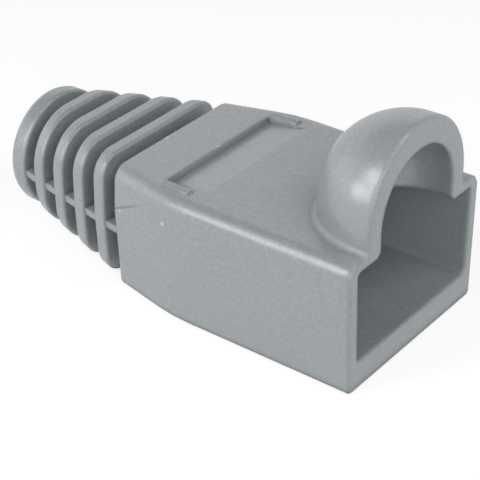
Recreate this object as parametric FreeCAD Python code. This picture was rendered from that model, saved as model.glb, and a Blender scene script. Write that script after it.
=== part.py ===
"""Strain relief boot for an eight-way modular plug on round data cable.

One soft moulding. A box-like body slides over the back of the plug, a domed hood over the
mouth covers the plug's latch, and a ribbed tail grips the cable and limits its bend.

Frame, in millimetres: +X points out of the mouth, towards the plug, +Z points up and +Y is
across the body. The origin is under the middle of the boot's length, on the flat bottom.
"""

import FreeCAD, Part
import math
import os

# ---- driving dimensions ----------------------------------------------------------------

# Body, measured at the mouth
boot_length = 31.5          # mouth to the end of the tail
body_height = 9.4
body_top_width = 14.8
body_draw_in = 0.4          # how much narrower the body is at its bottom
body_edge_radius = 0.8      # rounding of the body's long top edges
base_edge_radius = 0.45     # and of its bottom ones
parting_drop = 1.2          # the parting line on the body, below the top
mouth_edge_size = 0.15      # bevel around the outside of the mouth

# Taper from the body to the tail
taper_start = 14.4          # behind the mouth, where the sides begin to close in
taper_bend = 1.4            # half the length over which that bend is eased
shoulder_draw_in = 1.0      # on each side, at the body's rear face
shoulder_flank = 0.25       # how much further its top and bottom draw in
shoulder_top_drop = 0.1     # the top of that face, below the body's top
shoulder_lift = 0.05        # its bottom, above the body's bottom
shoulder_radius = 1.2       # rounding of its top corners, and of the first ring's
shoulder_base_radius = 0.6  # rounding of its bottom corners
shoulder_crease = 1.45      # the parting line there, above the cable's axis

# Ribbed tail
axis_drop = 0.05            # the cable's axis, below the body's middle
tail_lift = 0.25            # the bottom of the tail's end, above the body's bottom
slot_count = 5
slot_width = 1.2
slot_pitch = 2.3
collar_length = 1.35        # unslotted ring at the tail's end
collar_edge_radius = 0.4
side_bar_height = 0.55      # strips along the sides that join the rings
side_bar_drop = 0.3         # their middle, below the cable's axis
ring_edge_radius = 0.2      # rounding of the rings' outer edges
ring_roundness = 0.92       # of the rings' outline where it reaches the collar; 1 is a circle

# Room for the plug and the cable
side_wall = 0.85
top_wall = 0.6
floor_wall = 2.1
plug_depth = 11.0           # full-size room behind the mouth
plug_corner_radius = 0.4
shoulder_wall = 1.45        # wall at the body's rear face
bore_radius = 2.9

# Hood over the plug's latch
hood_margin = 1.95          # from the hood's side to the body's side
hood_rise = 1.4             # the middle of the dome, above the body's top
hood_centre_depth = 1.0     # behind the mouth, the middle of the dome
hood_wall = 1.35            # at the sides
hood_crown_extra = 0.45     # how much thicker the crown is than the sides
hood_foot_radius = 0.4     # rounding where the hood meets the top
hood_throat_size = 0.3      # bevel where its inside meets the plug's room

# Sunk panel on the top
panel_rear = 15.7           # behind the mouth, the step at the panel's deep end
panel_depth = 0.45          # of that step
panel_half = 5.4            # half the length of the step
panel_ramp = 3.2            # from the step to where the floor comes up to the top
ridge_half_gap = 5.9        # from the middle of the top to the short ridges beside the panel
ridge_length = 2.1
ridge_radius = 0.4
ridge_height = 0.18         # above the top
ridge_rear = 15.5           # behind the mouth, the ridges' rear end

# ---- sizes worked out from them --------------------------------------------------------

mouth_x = boot_length / 2
half_width = body_top_width / 2
axis_height = body_height / 2 - axis_drop
tail_radius = axis_height - tail_lift
shoulder_half = half_width - shoulder_draw_in
collar_front = boot_length - collar_length
shoulder_depth = collar_front - slot_width - (slot_count - 1) * slot_pitch
bar_low = axis_height - side_bar_drop - side_bar_height / 2
bar_high = bar_low + side_bar_height
hood_radius = half_width - hood_margin
hood_centre_height = body_height + hood_rise
hood_inner_radius = hood_radius - hood_wall
hood_inner_height = hood_centre_height - hood_crown_extra
past = 1.0                  # how far a cutting tool runs past the surface it cuts


def at(depth):
    """X of a place that lies `depth` behind the mouth."""
    return mouth_x - depth


def blend(start, end, share):
    return start + (end - start) * share


# ---- cross-sections --------------------------------------------------------------------

def rounded_corner(before, corner, after, radius):
    """Both tangent points and the middle point of the arc that rounds a corner."""
    to_before = (before - corner).normalize()
    to_after = (after - corner).normalize()
    half_angle = to_before.getAngle(to_after) / 2
    reach = radius / math.tan(half_angle)
    bisector = (to_before + to_after).normalize()
    centre = corner + bisector * (radius / math.sin(half_angle))
    return corner + to_before * reach, centre - bisector * radius, corner + to_after * reach


def section(depth, base, middle, top, base_radius, top_radius):
    """Closed outline across the boot, at `depth` behind the mouth.

    base, middle and top are (half width, height) pairs of one side; the corners at the
    base and the top are rounded, and the middle one is the crease at the parting line.
    """
    x = at(depth)
    left = [FreeCAD.Vector(x, -half, height) for half, height in (base, middle, top)]
    right = [FreeCAD.Vector(x, half, height) for half, height in (base, middle, top)]
    ring = left + right[::-1]
    radii = (base_radius, 0, top_radius, top_radius, 0, base_radius)
    edges = []
    last = None
    first = None
    for index, corner in enumerate(ring):
        if radii[index]:
            after = ring[(index + 1) % len(ring)]
            start, mid, end = rounded_corner(ring[index - 1], corner, after, radii[index])
        else:
            start, end = corner, corner
        if last is None:
            first = start
        else:
            edges.append(Part.LineSegment(last, start).toShape())
        if radii[index]:
            edges.append(Part.Arc(start, mid, end).toShape())
        last = end
    edges.append(Part.LineSegment(last, first).toShape())
    return Part.Wire(edges)


def round_section(depth, radius):
    """A circle about the cable's axis, split into the same run of edges as section().

    The corners of section() take most of the circle, and its straight sides the rest.
    """
    sliver = 12                 # degrees of the circle that half a straight side takes
    quarter = [sliver, 90 - sliver, 90, 90 + sliver, 180 - sliver]
    turns = quarter + [180 + turn for turn in quarter] + [360 + sliver]

    def point(turn):
        angle = math.radians(turn)
        return FreeCAD.Vector(at(depth), -radius * math.sin(angle),
                              axis_height - radius * math.cos(angle))

    arcs = [Part.Arc(point(start), point((start + end) / 2), point(end)).toShape()
            for start, end in zip(turns[:-1], turns[1:])]
    return Part.Wire(arcs)


def side_at(height):
    """Half width of the straight body's side at a height."""
    return half_width - body_draw_in / 2 * (1 - height / body_height)


# ---- outside ---------------------------------------------------------------------------

def taper_share(depth):
    """0 on the straight body, 1 at the body's rear face, with an eased bend between."""
    run = shoulder_depth - taper_start
    past_start = depth - (taper_start - taper_bend)
    if past_start <= 0:
        return 0.0
    if past_start < 2 * taper_bend:
        return past_start ** 2 / (4 * taper_bend) / run
    return (depth - taper_start) / run


def body_section(depth, inset=0.0):
    """The body's outline, from the mouth to its rear face."""
    share = taper_share(depth)
    flank = shoulder_half - shoulder_flank
    crease = blend(body_height - parting_drop, axis_height + shoulder_crease, share)
    base = (blend(side_at(0), flank, share) - inset, blend(0, shoulder_lift, share) + inset)
    middle = (blend(side_at(crease), shoulder_half, share) - inset, crease)
    top = (blend(side_at(body_height), flank, share) - inset,
           body_height - blend(0, shoulder_top_drop, share) - inset)
    base_radius = blend(base_edge_radius, shoulder_base_radius, share) - inset
    top_radius = blend(body_edge_radius, shoulder_radius, share) - inset
    return section(depth, base, middle, top, base_radius, top_radius)


def tail_section(depth, inset):
    """The tail's outline, from the body's rear face to the collar: a box that turns round."""
    share = (depth - shoulder_depth) / (collar_front - shoulder_depth)
    flank = blend(shoulder_half - shoulder_flank, tail_radius, share) - inset
    low = blend(shoulder_lift, axis_height - tail_radius, share) + inset
    high = blend(body_height - shoulder_top_drop, axis_height + tail_radius, share) - inset
    middle = (blend(shoulder_half, tail_radius, share) - inset, axis_height)
    radius = blend(shoulder_radius, ring_roundness * tail_radius, share) - inset
    return section(depth, (flank, low), middle, (flank, high), radius, radius)


def rounding(radius):
    """(distance from the face, inset) pairs of an outside edge rounded in two steps."""
    halfway = radius * (1 - math.sqrt(0.5))
    return [(0, radius), (halfway, halfway), (radius, 0)]


def body_and_tail():
    """One ruled skin from the mouth to the tail's end, drawn in at the walls of each slot."""
    bend = (taper_start - taper_bend, taper_start, taper_start + taper_bend)
    rims = rounding(ring_edge_radius)
    outlines = [body_section(depth) for depth in (0, *bend)]
    outlines += [body_section(shoulder_depth - run, inset) for run, inset in rims[::-1]]
    for number in range(1, slot_count):
        next_slot = shoulder_depth + number * slot_pitch
        ring_front = next_slot - (slot_pitch - slot_width)
        outlines += [tail_section(ring_front + run, inset) for run, inset in rims]
        outlines += [tail_section(next_slot - run, inset) for run, inset in rims[::-1]]
    outlines += [round_section(collar_front + run, tail_radius - inset) for run, inset in rims]
    outlines += [round_section(boot_length - run, tail_radius - inset)
                 for run, inset in rounding(collar_edge_radius)[::-1]]
    return Part.makeLoft(outlines, True, True)


def arch(radius, centre_height, foot, front, back):
    """A round-headed solid along X, from `front` to `back` behind the mouth."""
    x = at(back)
    left_foot = FreeCAD.Vector(x, -radius, foot)
    left_spring = FreeCAD.Vector(x, -radius, centre_height)
    crown = FreeCAD.Vector(x, 0, centre_height + radius)
    right_spring = FreeCAD.Vector(x, radius, centre_height)
    right_foot = FreeCAD.Vector(x, radius, foot)
    outline = Part.Wire([
        Part.LineSegment(left_foot, left_spring).toShape(),
        Part.Arc(left_spring, crown, right_spring).toShape(),
        Part.LineSegment(right_spring, right_foot).toShape(),
        Part.LineSegment(right_foot, left_foot).toShape(),
    ])
    return Part.Face(outline).extrude(FreeCAD.Vector(back - front, 0, 0))


def dome(radius, centre_height, foot, front):
    """The arch, closed behind by a quarter ball on a half-round wall."""
    x = at(hood_centre_depth)
    foot_middle = FreeCAD.Vector(x, 0, foot)
    foot_side = FreeCAD.Vector(x, radius, foot)
    spring = FreeCAD.Vector(x, radius, centre_height)
    haunch = FreeCAD.Vector(x, radius * math.cos(math.pi / 4),
                            centre_height + radius * math.sin(math.pi / 4))
    crown = FreeCAD.Vector(x, 0, centre_height + radius)
    half_outline = Part.Wire([
        Part.LineSegment(foot_middle, foot_side).toShape(),
        Part.LineSegment(foot_side, spring).toShape(),
        Part.Arc(spring, haunch, crown).toShape(),
        Part.LineSegment(crown, foot_middle).toShape(),
    ])
    rear = Part.Face(half_outline).revolve(foot_middle, FreeCAD.Vector(0, 0, 1), 180)
    return rear.fuse(arch(radius, centre_height, foot, front, hood_centre_depth))


# ---- inside ----------------------------------------------------------------------------

def plug_section(depth):
    base = (side_at(floor_wall) - side_wall, floor_wall)
    ceiling = body_height - top_wall
    top = (side_at(ceiling) - side_wall, ceiling)
    middle = (side_at(axis_height) - side_wall, axis_height)
    return section(depth, base, middle, top, plug_corner_radius, plug_corner_radius)


def throat_section():
    flank = shoulder_half - shoulder_flank - shoulder_wall
    low = shoulder_lift + shoulder_wall
    high = body_height - shoulder_top_drop - shoulder_wall
    middle = (shoulder_half - shoulder_wall, axis_height)
    return section(shoulder_depth, (flank, low), middle, (flank, high),
                   plug_corner_radius, plug_corner_radius)


def room_inside():
    """The hollow as a solid: the plug's room, the tapering throat, the bore, the dome."""
    throat = Part.makeLoft([plug_section(-past), plug_section(plug_depth), throat_section(),
                            round_section(collar_front, bore_radius)], True, True)
    bore = Part.makeCylinder(bore_radius, collar_length + past,
                             FreeCAD.Vector(at(boot_length) - past, 0, axis_height),
                             FreeCAD.Vector(1, 0, 0))
    latch_room = dome(hood_inner_radius, hood_inner_height, axis_height, -past)
    room = throat.fuse(bore).fuse(latch_room)
    return room.makeChamfer(hood_throat_size, seam_at(room, body_height - top_wall))


# ---- cuts ------------------------------------------------------------------------------

def sunk_panel():
    """A wedge: deep at its rear step, with a floor that ramps up to the top and out of it."""
    rear = at(panel_rear)
    rise = past / panel_depth
    step_foot = FreeCAD.Vector(rear, -panel_half, body_height - panel_depth)
    step_head = FreeCAD.Vector(rear, -panel_half, body_height + past)
    front = FreeCAD.Vector(rear + panel_ramp * (1 + rise), -panel_half, body_height + past)
    outline = Part.makePolygon([step_foot, front, step_head, step_foot])
    return Part.Face(outline).extrude(FreeCAD.Vector(0, 2 * panel_half, 0))


def ridges():
    """Short ridges that stand on the top, beside the panel's rear step."""
    centre_height = body_height + ridge_height - ridge_radius
    feet = [FreeCAD.Vector(at(ridge_rear), side * ridge_half_gap, centre_height)
            for side in (-1, 1)]
    return [Part.makeCylinder(ridge_radius, ridge_length, foot, FreeCAD.Vector(1, 0, 0))
            for foot in feet]


def tail_slots():
    """Each slot is cut down from above and up from below, as far as the side bars."""
    reach = body_top_width
    cutters = []
    for number in range(slot_count):
        back = shoulder_depth + number * slot_pitch + slot_width
        low_corner = FreeCAD.Vector(at(back), -reach / 2, bar_low - reach)
        high_corner = FreeCAD.Vector(at(back), -reach / 2, bar_high)
        cutters.append(Part.makeBox(slot_width, reach, reach, low_corner))
        cutters.append(Part.makeBox(slot_width, reach, reach, high_corner))
    return cutters


# ---- picking edges ---------------------------------------------------------------------

def lies_at(low, high, place):
    """Whether an extent from low to high is flat and lies at a place."""
    return abs(low - place) < 1e-5 and abs(high - place) < 1e-5


def across_at(shape, depth):
    """The shape's edges in the plane across the boot at a depth."""
    return [edge for edge in shape.Edges
            if lies_at(edge.BoundBox.XMin, edge.BoundBox.XMax, at(depth))]


def seam_at(shape, height):
    """The edges where the dome, inside or outside, stands on a flat at a height."""
    reach = hood_radius + 0.01
    seam = []
    for edge in shape.Edges:
        box = edge.BoundBox
        level = lies_at(box.ZMin, box.ZMax, height)
        beside = box.YMin > -reach and box.YMax < reach
        ahead = box.XMin > at(hood_centre_depth + reach) and box.XLength > 0.01
        if level and beside and ahead:
            seam.append(edge)
    return seam


def outside_only(edges, room):
    """Leave out the edges that bound the room."""
    return [edge for edge in edges if edge.distToShape(room)[0] > 0.1]


# ---- the moulding ----------------------------------------------------------------------

def moulding():
    room = room_inside()
    body = body_and_tail().cut(sunk_panel()).fuse(ridges()).cut(room).cut(tail_slots())
    hood = dome(hood_radius, hood_centre_height, axis_height, 0).cut(room)
    boot = body.fuse(hood)
    boot = boot.makeFillet(hood_foot_radius, outside_only(seam_at(boot, body_height), room))
    return boot.makeChamfer(mouth_edge_size, outside_only(across_at(boot, 0), room))


def main():
    os.makedirs("parts", exist_ok=True)
    boot = moulding()
    print("solids", len(boot.Solids), "valid", boot.isValid(), "volume", round(boot.Volume, 2))
    boot.Solids[0].exportStep("parts/strain_relief_boot.step")


main()
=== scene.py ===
"""Studio picture of a soft vinyl strain relief boot, around its construction model."""

import math

import bpy
from mathutils import Matrix, Vector


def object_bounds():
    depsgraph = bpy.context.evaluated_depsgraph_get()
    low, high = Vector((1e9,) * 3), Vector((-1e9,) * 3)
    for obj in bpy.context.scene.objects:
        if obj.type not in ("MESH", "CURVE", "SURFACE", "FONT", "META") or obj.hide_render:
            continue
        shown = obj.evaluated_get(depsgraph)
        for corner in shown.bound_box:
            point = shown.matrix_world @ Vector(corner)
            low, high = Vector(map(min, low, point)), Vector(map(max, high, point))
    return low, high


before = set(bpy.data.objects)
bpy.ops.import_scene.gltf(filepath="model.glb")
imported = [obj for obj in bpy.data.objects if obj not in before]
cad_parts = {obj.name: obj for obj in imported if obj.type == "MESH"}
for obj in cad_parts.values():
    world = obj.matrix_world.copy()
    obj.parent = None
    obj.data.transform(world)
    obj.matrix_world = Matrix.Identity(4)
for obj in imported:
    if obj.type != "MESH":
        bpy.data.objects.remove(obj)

bl_info = {
    "name": "Strain Relief Boot Studio",
    "version": (1, 0, 0),
    "blender": (4, 5, 0),
    "location": "3D View > Sidebar > Boot",
    "description": "Finishes a moulded strain relief boot and sets it in a plain studio",
    "category": "Object",
}

BOOT = "strain_relief_boot"
CAD_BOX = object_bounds()
MM = 0.001
WHITE = (1.0, 1.0, 1.0, 1.0)

# Small paler spots on the skin: x, y, z and radius, in millimetres.
SPECKS = (
    (-3.96, -0.94, 9.30, 0.35),
    (-3.31, -6.40, 6.36, 0.20),
    (1.02, -7.25, 7.27, 0.18),
    (-0.12, 0.06, 9.40, 0.16),
)

# The front ends of the two low ridges, which are left out of the painted crease shade and keep
# their edges: x, y, z and reach, in millimetres. The sharpness is the share of the softening left
# out there.
RIDGE_ENDS = (
    (2.35, -5.90, 9.40, 0.90),
    (2.35, 5.90, 9.40, 0.90),
)
RIDGE_END_SHARPNESS = 0.9

# Where the softening of the edges changes, from the first place to the second. Y is
# measured from the middle to either side.
TAIL_TO_BODY_X = (-4.6 * MM, -3.8 * MM)
TOP_TO_SIDE_Y = (6.25 * MM, 6.6 * MM)
SIDE_TO_TOP_Z = (7.4 * MM, 8.2 * MM)
MOUTH_TO_BODY_X = (15.3 * MM, 14.6 * MM)

# The mould's parting line on the near side of the shoulder: its height where x is 0,
# its rise along x, and how it comes in from the first place to the second.
LINE_HEIGHT = 8.29 * MM
LINE_RISE = 0.512
LINE_EDGE = (0.16 * MM, 0.05 * MM)
LINE_FADE_X = (0.3 * MM, -3.6 * MM)
LINE_END_X = (-4.25 * MM, -4.15 * MM)
LINE_SIDE_Y = (-3.0 * MM, -4.0 * MM)

# What drives the material: the span of the noise behind the mottle, the spans of how
# open the skin is, from deep in a crease to the open, over which painted shade and dullness
# fade, and the rays sent from each point to find its creases and soften its edges.
MOTTLE_SPAN = (0.3, 0.7)
PAINTED_SHADE_SPAN = (0.45, 0.95)
SHINE_SPAN = (0.6, 0.95)
RAYS_PER_POINT = 8

# How high a direction points where the light from all round dims towards overhead.
OVERHEAD_SPAN = (0.5, 0.75)

# The lamps: name, direction from the boot, and distance and width in metres.
LAMPS = (
    ("key", (-0.22, -0.70, 0.68), 0.143, 0.056),
    ("edge", (-0.474, -0.824, 0.311), 0.145, 0.05),
    ("front", (0.74, -0.56, 0.37), 0.30, 0.30),
    ("mouth", (0.58, 0.19, 0.79), 0.10, 0.05),
    ("back", (-0.525, 0.665, 0.531), 0.30, 0.25),
    ("tail", (-0.93, -0.34, 0.10), 0.30, 0.25),
)

# The camera: its sensor's width in millimetres, and how near and far it sees in metres.
SENSOR_WIDTH = 36.0
CLIP_START = 0.01
CLIP_END = 10.0


# ---- settings --------------------------------------------------------------------------

class BootVinylSettings(bpy.types.PropertyGroup):
    """The vinyl that the boot is moulded in."""

    body_colour: bpy.props.FloatVectorProperty(
        name="Body Colour", description="Colour of the vinyl",
        subtype="COLOR", size=3, min=0.0, max=1.0, default=(0.325, 0.360, 0.371))
    shade_spread: bpy.props.FloatProperty(
        name="Shade Spread", description="How far the colour drifts, lighter and darker",
        subtype="FACTOR", min=0.0, max=0.5, default=0.07)
    mottle_size: bpy.props.FloatProperty(
        name="Mottle Size", description="Size of the lighter and darker patches",
        unit="LENGTH", subtype="DISTANCE", min=0.00005, max=0.01, precision=6, default=0.00025)
    grain_size: bpy.props.FloatProperty(
        name="Grain Size", description="Size of the bumps of the mould texture",
        unit="LENGTH", subtype="DISTANCE", min=0.00005, max=0.01, precision=6, default=0.0002)
    # Painted shade: how much the colour is darkened deep in a crease, where shade falls.
    crease_painted_shade: bpy.props.FloatProperty(
        name="Crease Painted Shade", description="How much darker the skin is deep in a crease",
        subtype="FACTOR", min=0.0, max=1.0, default=0.3)
    crease_reach: bpy.props.FloatProperty(
        name="Crease Reach", description="How far from a crease the skin is darker",
        unit="LENGTH", subtype="DISTANCE", min=0.0, max=0.005, precision=6, default=0.001)
    crease_roughness: bpy.props.FloatProperty(
        name="Crease Roughness", description="Roughness of the skin deep in a crease",
        subtype="FACTOR", min=0.0, max=1.0, default=0.8)
    # How much paler the small spots listed in SPECKS are.
    speck_paleness: bpy.props.FloatProperty(
        name="Speck Paleness", description="How much paler the nibs and specks are",
        subtype="FACTOR", min=0.0, max=1.0, default=0.8)
    line_darkness: bpy.props.FloatProperty(
        name="Line Darkness", description="How much darker the parting line is",
        subtype="FACTOR", min=0.0, max=1.0, default=0.4)
    roughness: bpy.props.FloatProperty(
        name="Roughness", description="Roughness of the moulded skin",
        subtype="FACTOR", min=0.0, max=1.0, default=0.27)
    gloss: bpy.props.FloatProperty(
        name="Gloss", description="Strength of the shine; 0.5 is plain for such a plastic",
        subtype="FACTOR", min=0.0, max=1.0, default=1.0)
    grain_depth: bpy.props.FloatProperty(
        name="Grain Depth", description="Depth of the fine mould texture",
        unit="LENGTH", subtype="DISTANCE", min=0.0, max=0.0005, precision=6, default=0.000007)
    ring_softness: bpy.props.FloatProperty(
        name="Ring Softness", description="Radius over which the edges of the tail are softened",
        unit="LENGTH", subtype="DISTANCE", min=0.0, max=0.002, precision=6, default=0.0002)
    edge_softness: bpy.props.FloatProperty(
        name="Edge Softness", description="Radius over which the edges of the body are softened",
        unit="LENGTH", subtype="DISTANCE", min=0.0, max=0.002, precision=6, default=0.00045)
    long_edge_softness: bpy.props.FloatProperty(
        name="Long Edge Softness", description="Radius over which the long top edges are softened",
        unit="LENGTH", subtype="DISTANCE", min=0.0, max=0.002, precision=6, default=0.0009)


class BootStudioSettings(bpy.types.PropertyGroup):
    """Floor, lights and camera."""

    floor_colour: bpy.props.FloatVectorProperty(
        name="Floor Colour", description="Colour that the floor throws back on the boot",
        subtype="COLOR", size=3, min=0.0, max=1.0, default=(0.55, 0.55, 0.55))
    shadow_share: bpy.props.FloatVectorProperty(
        name="Shadow Share", description="How much of the floor's look comes from its light",
        subtype="COLOR", size=3, min=0.0, max=1.0, default=(0.40, 0.40, 0.40))
    floor_glow: bpy.props.FloatProperty(
        name="Floor Glow", description="Plain white added to what is seen of the floor",
        min=0.0, max=1.0, default=0.76)
    floor_reach: bpy.props.FloatProperty(
        name="Floor Reach", description="From the middle of the floor to its edges",
        unit="LENGTH", subtype="DISTANCE", min=0.1, max=10.0, default=0.3)
    floor_gap: bpy.props.FloatProperty(
        name="Floor Gap", description="Gap that keeps the floor clear of the boot's bottom",
        unit="LENGTH", subtype="DISTANCE", min=0.0, max=0.001, precision=6, default=0.00002)
    world_colour: bpy.props.FloatVectorProperty(
        name="World Colour", description="Colour of the light from all round",
        subtype="COLOR", size=3, min=0.0, max=1.0, default=(0.85, 1.0, 1.0))
    lamp_colour: bpy.props.FloatVectorProperty(
        name="Lamp Colour", description="Colour of the lamps",
        subtype="COLOR", size=3, min=0.0, max=1.0, default=(1.0, 0.945, 0.96))
    world_strength: bpy.props.FloatProperty(
        name="World Strength", description="Light from all round",
        min=0.0, max=5.0, default=0.32)
    overhead_share: bpy.props.FloatProperty(
        name="Overhead Share",
        description="Light from overhead, as a share of that from the sides",
        subtype="FACTOR", min=0.0, max=1.0, default=0.15)
    key_power: bpy.props.FloatProperty(
        name="Key Power", description="Power of the lamp above the near side",
        unit="POWER", min=0.0, max=10.0, default=0.063)
    edge_power: bpy.props.FloatProperty(
        name="Edge Power", description="Power of the lower lamp at the near side",
        unit="POWER", min=0.0, max=10.0, default=0.037)
    front_power: bpy.props.FloatProperty(
        name="Front Power", description="Power of the lamp before the near front corner",
        unit="POWER", min=0.0, max=10.0, default=0.37)
    mouth_power: bpy.props.FloatProperty(
        name="Mouth Power", description="Power of the lamp before the mouth",
        unit="POWER", min=0.0, max=10.0, default=0.02)
    back_power: bpy.props.FloatProperty(
        name="Back Power", description="Power of the wide lamp behind the far side",
        unit="POWER", min=0.0, max=10.0, default=0.02)
    tail_power: bpy.props.FloatProperty(
        name="Tail Power", description="Power of the low lamp behind the tail",
        unit="POWER", min=0.0, max=10.0, default=0.1)
    azimuth: bpy.props.FloatProperty(
        name="Azimuth", description="Camera's turn about the upright axis; 0 looks along +Y",
        unit="ROTATION", subtype="ANGLE", default=math.radians(38.286))
    elevation: bpy.props.FloatProperty(
        name="Elevation", description="Camera's height angle above the horizon",
        unit="ROTATION", subtype="ANGLE", default=math.radians(32.056))
    roll: bpy.props.FloatProperty(
        name="Roll", description="Camera's turn about its own axis",
        unit="ROTATION", subtype="ANGLE", default=math.radians(-0.886))
    distance: bpy.props.FloatProperty(
        name="Distance", description="From the camera to the point that it looks at",
        unit="LENGTH", subtype="DISTANCE", default=0.112619)
    aim: bpy.props.FloatVectorProperty(
        name="Aim", description="The point in the middle of the view",
        unit="LENGTH", subtype="TRANSLATION", size=3, precision=6,
        default=(0.001685, 0.0, 0.002656))
    lens: bpy.props.FloatProperty(
        name="Lens", description="Focal length on a 36 mm sensor, in millimetres",
        min=10.0, max=500.0, default=122.9)


# ---- materials -------------------------------------------------------------------------

def add_node(tree, kind, **inputs):
    """A new node with the given values on its inputs."""
    node = tree.nodes.new(kind)
    for name, value in inputs.items():
        node.inputs[name].default_value = value
    return node


def ramp(tree, value, span, low=0.0, high=1.0, kind="SMOOTHSTEP"):
    """A change from low to high while value goes from the span's start to its end."""
    node = tree.nodes.new("ShaderNodeMapRange")
    node.interpolation_type = kind
    node.inputs["From Min"].default_value = span[0]
    node.inputs["From Max"].default_value = span[1]
    node.inputs["To Min"].default_value = low
    node.inputs["To Max"].default_value = high
    tree.links.new(value, node.inputs["Value"])
    return node.outputs["Result"]


def maths(tree, operation, *values):
    """The operation on the values, each a number or the output of a node."""
    node = tree.nodes.new("ShaderNodeMath")
    node.operation = operation
    for socket, value in zip(node.inputs, values):
        if isinstance(value, float):
            socket.default_value = value
        else:
            tree.links.new(value, socket)
    return node.outputs["Value"]


def axes(tree, vector):
    """The x, y and z of a vector."""
    parts = tree.nodes.new("ShaderNodeSeparateXYZ")
    tree.links.new(vector, parts.inputs["Vector"])
    return parts.outputs


def spots(tree, place, places):
    """1 within half the radius of any of the places, 0 outside it."""
    either = 0.0
    for x, y, z, radius in places:
        away = tree.nodes.new("ShaderNodeVectorMath")
        away.operation = "DISTANCE"
        away.inputs[1].default_value = (x * MM, y * MM, z * MM)
        tree.links.new(place, away.inputs[0])
        spot = ramp(tree, away.outputs["Value"], (radius * MM, radius * 0.5 * MM))
        either = maths(tree, "MAXIMUM", spot, either)
    return either


def edge_radius(tree, place, ridge_ends, settings):
    """Tight on the tail, wider on the body and widest on its long top edges."""
    x, y, z = axes(tree, place)
    body = ramp(tree, x, TAIL_TO_BODY_X, settings.ring_softness, settings.edge_softness)
    beside = ramp(tree, maths(tree, "ABSOLUTE", y), TOP_TO_SIDE_Y)
    high = ramp(tree, z, SIDE_TO_TOP_Z)
    behind_mouth = ramp(tree, x, MOUTH_TO_BODY_X)
    long_edge = maths(tree, "MULTIPLY", maths(tree, "MULTIPLY", beside, high), behind_mouth)
    extra = settings.long_edge_softness - settings.edge_softness
    rounded = maths(tree, "MULTIPLY_ADD", long_edge, extra, body)
    kept = maths(tree, "MULTIPLY_ADD", ridge_ends, -RIDGE_END_SHARPNESS, 1.0)
    return maths(tree, "MULTIPLY", rounded, kept)


def parting_line(tree, place):
    """1 on the fine line that runs up the shoulder's near side, fading to the front."""
    x, y, z = axes(tree, place)
    line_height = maths(tree, "MULTIPLY_ADD", x, LINE_RISE, LINE_HEIGHT)
    off_line = maths(tree, "ABSOLUTE", maths(tree, "SUBTRACT", z, line_height))
    on_line = ramp(tree, off_line, LINE_EDGE)
    along = ramp(tree, x, LINE_FADE_X)
    body = ramp(tree, x, LINE_END_X)
    near_side = ramp(tree, y, LINE_SIDE_Y)
    drawn = maths(tree, "MULTIPLY", maths(tree, "MULTIPLY", on_line, along), body)
    return maths(tree, "MULTIPLY", drawn, near_side)


def vinyl_material(settings):
    """Satin vinyl: mottle, painted shade in the creases, small paler spots, a parting line, grain,
    soft edges.
    """
    material = bpy.data.materials.new("soft_vinyl")
    material.use_nodes = True
    tree = material.node_tree
    link = tree.links.new
    shader = tree.nodes["Principled BSDF"]
    shader.inputs["Specular IOR Level"].default_value = settings.gloss
    place = tree.nodes.new("ShaderNodeTexCoord").outputs["Object"]
    ridge_ends = spots(tree, place, RIDGE_ENDS)

    # Painted shade: the colour is darkened deep in creases, where shade falls; the creases are
    # also made rougher.
    crease = add_node(tree, "ShaderNodeAmbientOcclusion", Distance=settings.crease_reach)
    crease.samples = RAYS_PER_POINT
    openness = crease.outputs["AO"]
    painted_shade = ramp(tree, openness, PAINTED_SHADE_SPAN, 1.0 - settings.crease_painted_shade, 1.0)
    matte = ramp(tree, openness, SHINE_SPAN, settings.crease_roughness, settings.roughness)
    link(matte, shader.inputs["Roughness"])

    mottle = add_node(tree, "ShaderNodeTexNoise", Scale=1.0 / settings.mottle_size, Detail=2.0)
    link(place, mottle.inputs["Vector"])
    spread = settings.shade_spread
    shade = ramp(tree, mottle.outputs["Fac"], MOTTLE_SPAN, 1.0 - spread, 1.0 + spread, "LINEAR")
    paleness, darkness = settings.speck_paleness, settings.line_darkness
    paler = maths(tree, "MULTIPLY_ADD", spots(tree, place, SPECKS), paleness, 1.0)
    darker = maths(tree, "MULTIPLY_ADD", parting_line(tree, place), -darkness, 1.0)
    marks = maths(tree, "MULTIPLY", paler, darker)
    # The painted crease shade is taken off the ridge ends.
    shade_off_ridge_ends = maths(tree, "MAXIMUM", painted_shade, ridge_ends)
    value = maths(tree, "MULTIPLY", maths(tree, "MULTIPLY", shade, shade_off_ridge_ends), marks)
    tint = add_node(tree, "ShaderNodeHueSaturation", Color=(*settings.body_colour, 1.0))
    link(value, tint.inputs["Value"])
    link(tint.outputs["Color"], shader.inputs["Base Color"])

    soft_edges = tree.nodes.new("ShaderNodeBevel")
    soft_edges.samples = RAYS_PER_POINT
    link(edge_radius(tree, place, ridge_ends, settings), soft_edges.inputs["Radius"])
    grain = add_node(tree, "ShaderNodeTexNoise", Scale=1.0 / settings.grain_size, Detail=3.0)
    link(place, grain.inputs["Vector"])
    bump = add_node(tree, "ShaderNodeBump", Strength=1.0, Distance=settings.grain_depth)
    link(grain.outputs["Fac"], bump.inputs["Height"])
    link(soft_edges.outputs["Normal"], bump.inputs["Normal"])
    link(bump.outputs["Normal"], shader.inputs["Normal"])
    return material


# ---- operators -------------------------------------------------------------------------

class BOOT_OT_finish_moulding(bpy.types.Operator):
    """Give the moulded boot its vinyl finish"""

    bl_idname = "boot.finish_moulding"
    bl_label = "Finish Moulding"

    def execute(self, context):
        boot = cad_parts[BOOT]
        material = vinyl_material(context.scene.boot_vinyl)
        boot.data.materials.clear()
        boot.data.materials.append(material)
        return {"FINISHED"}


class BOOT_OT_set_stage(bpy.types.Operator):
    """Lay the floor, hang the lights and place the camera"""

    bl_idname = "boot.set_stage"
    bl_label = "Set Stage"

    def execute(self, context):
        settings = context.scene.boot_studio
        lay_floor(settings)
        light_world(settings)
        hang_lamps(settings)
        place_camera(settings)
        context.scene.view_settings.view_transform = "Standard"
        return {"FINISHED"}


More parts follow.
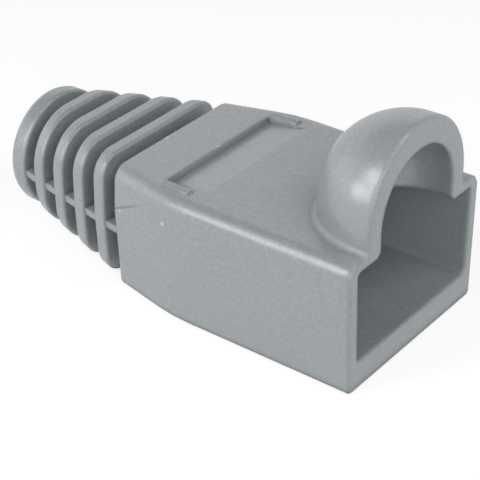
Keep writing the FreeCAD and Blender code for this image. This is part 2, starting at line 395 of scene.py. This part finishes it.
def seen_directly(tree):
    """1 for rays from the camera, a mirror or glass, 0 for rays that carry light."""
    ray = tree.nodes.new("ShaderNodeLightPath").outputs
    seen = maths(tree, "MAXIMUM", ray["Is Camera Ray"], ray["Is Glossy Ray"])
    return maths(tree, "MAXIMUM", seen, ray["Is Transmission Ray"])


def floor_material(settings):
    """White where it is lit, with only a light shadow under the boot."""
    material = bpy.data.materials.new("studio_floor")
    material.use_nodes = True
    tree = material.node_tree
    link = tree.links.new
    tree.nodes.remove(tree.nodes["Principled BSDF"])
    bounce = add_node(tree, "ShaderNodeBsdfDiffuse", Color=(*settings.floor_colour, 1.0))
    shown = add_node(tree, "ShaderNodeBsdfDiffuse", Color=(*settings.shadow_share, 1.0))
    glow = add_node(tree, "ShaderNodeEmission", Color=WHITE, Strength=settings.floor_glow)
    white = tree.nodes.new("ShaderNodeAddShader")
    link(shown.outputs["BSDF"], white.inputs[0])
    link(glow.outputs["Emission"], white.inputs[1])
    mix = tree.nodes.new("ShaderNodeMixShader")
    link(seen_directly(tree), mix.inputs["Fac"])
    link(bounce.outputs["BSDF"], mix.inputs[1])
    link(white.outputs["Shader"], mix.inputs[2])
    link(mix.outputs["Shader"], tree.nodes["Material Output"].inputs["Surface"])
    return material


def lay_floor(settings):
    """A square just under the boot."""
    mesh = bpy.data.meshes.new("studio_floor")
    reach = settings.floor_reach
    corners = [(-reach, -reach, 0), (reach, -reach, 0), (reach, reach, 0), (-reach, reach, 0)]
    mesh.from_pydata(corners, [], [(0, 1, 2, 3)])
    mesh.materials.append(floor_material(settings))
    floor = bpy.data.objects.new("studio_floor", mesh)
    floor.location.z = CAD_BOX[0].z - settings.floor_gap
    bpy.context.scene.collection.objects.link(floor)


def light_world(settings):
    """Even light from all sides, dimmer overhead, which shows as white behind the floor."""
    world = bpy.data.worlds.new("studio_world")
    bpy.context.scene.world = world
    world.use_nodes = True
    tree = world.node_tree
    link = tree.links.new
    direction = tree.nodes.new("ShaderNodeTexCoord").outputs["Generated"]
    height = axes(tree, direction)["Z"]
    share = settings.overhead_share
    strength = settings.world_strength
    lit = tree.nodes["Background"]
    lit.inputs["Color"].default_value = (*settings.world_colour, 1.0)
    link(ramp(tree, height, OVERHEAD_SPAN, strength, strength * share), lit.inputs["Strength"])
    shown = add_node(tree, "ShaderNodeBackground", Color=WHITE)
    link(ramp(tree, height, OVERHEAD_SPAN, 1.0, share), shown.inputs["Strength"])
    mix = tree.nodes.new("ShaderNodeMixShader")
    link(seen_directly(tree), mix.inputs["Fac"])
    link(lit.outputs["Background"], mix.inputs[1])
    link(shown.outputs["Background"], mix.inputs[2])
    link(mix.outputs["Shader"], tree.nodes["World Output"].inputs["Surface"])


def hang_lamps(settings):
    """Soft round lamps that face the middle of the boot."""
    middle = (CAD_BOX[0] + CAD_BOX[1]) / 2
    for name, towards, distance, width in LAMPS:
        direction = Vector(towards)
        lamp = bpy.data.lights.new(f"{name}_lamp", "AREA")
        lamp.shape = "DISK"
        lamp.size = width
        lamp.color = settings.lamp_colour
        lamp.energy = getattr(settings, f"{name}_power")
        holder = bpy.data.objects.new(lamp.name, lamp)
        holder.location = middle + direction.normalized() * distance
        holder.rotation_euler = (-direction).to_track_quat("-Z", "Y").to_euler()
        bpy.context.scene.collection.objects.link(holder)


def place_camera(settings):
    """A camera that looks at the aim from the set angles and distance."""
    az, el, roll = settings.azimuth, settings.elevation, settings.roll
    back = Vector((math.sin(az) * math.cos(el), -math.cos(az) * math.cos(el), math.sin(el)))
    level_right = Vector((math.cos(az), math.sin(az), 0.0))
    level_up = back.cross(level_right)
    right = math.cos(roll) * level_right + math.sin(roll) * level_up
    up = back.cross(right)
    data = bpy.data.cameras.new("studio_camera")
    data.sensor_width = SENSOR_WIDTH
    data.lens = settings.lens
    data.clip_start = CLIP_START
    data.clip_end = CLIP_END
    camera = bpy.data.objects.new("studio_camera", data)
    place = Matrix((right, up, back)).transposed().to_4x4()
    place.translation = Vector(settings.aim) + settings.distance * back
    camera.matrix_world = place
    bpy.context.scene.collection.objects.link(camera)
    bpy.context.scene.camera = camera


# ---- panel and registration ------------------------------------------------------------

class BOOT_PT_studio(bpy.types.Panel):
    """Settings and steps for the boot"""

    bl_idname = "BOOT_PT_studio"
    bl_label = "Strain Relief Boot"
    bl_space_type = "VIEW_3D"
    bl_region_type = "UI"
    bl_category = "Boot"

    def draw(self, context):
        layout = self.layout
        for title, settings, step in (
                ("Moulding", context.scene.boot_vinyl, "boot.finish_moulding"),
                ("Studio", context.scene.boot_studio, "boot.set_stage")):
            box = layout.box()
            box.label(text=title)
            for name in settings.__annotations__:
                box.prop(settings, name)
            box.operator(step)


CLASSES = (BootVinylSettings, BootStudioSettings, BOOT_OT_finish_moulding,
           BOOT_OT_set_stage, BOOT_PT_studio)


def register():
    for item in CLASSES:
        bpy.utils.register_class(item)
    bpy.types.Scene.boot_vinyl = bpy.props.PointerProperty(type=BootVinylSettings)
    bpy.types.Scene.boot_studio = bpy.props.PointerProperty(type=BootStudioSettings)


def unregister():
    del bpy.types.Scene.boot_studio
    del bpy.types.Scene.boot_vinyl
    for item in reversed(CLASSES):
        bpy.utils.unregister_class(item)


def main():
    register()
    bpy.ops.boot.finish_moulding()
    bpy.ops.boot.set_stage()


if __name__ == "__main__":
    main()
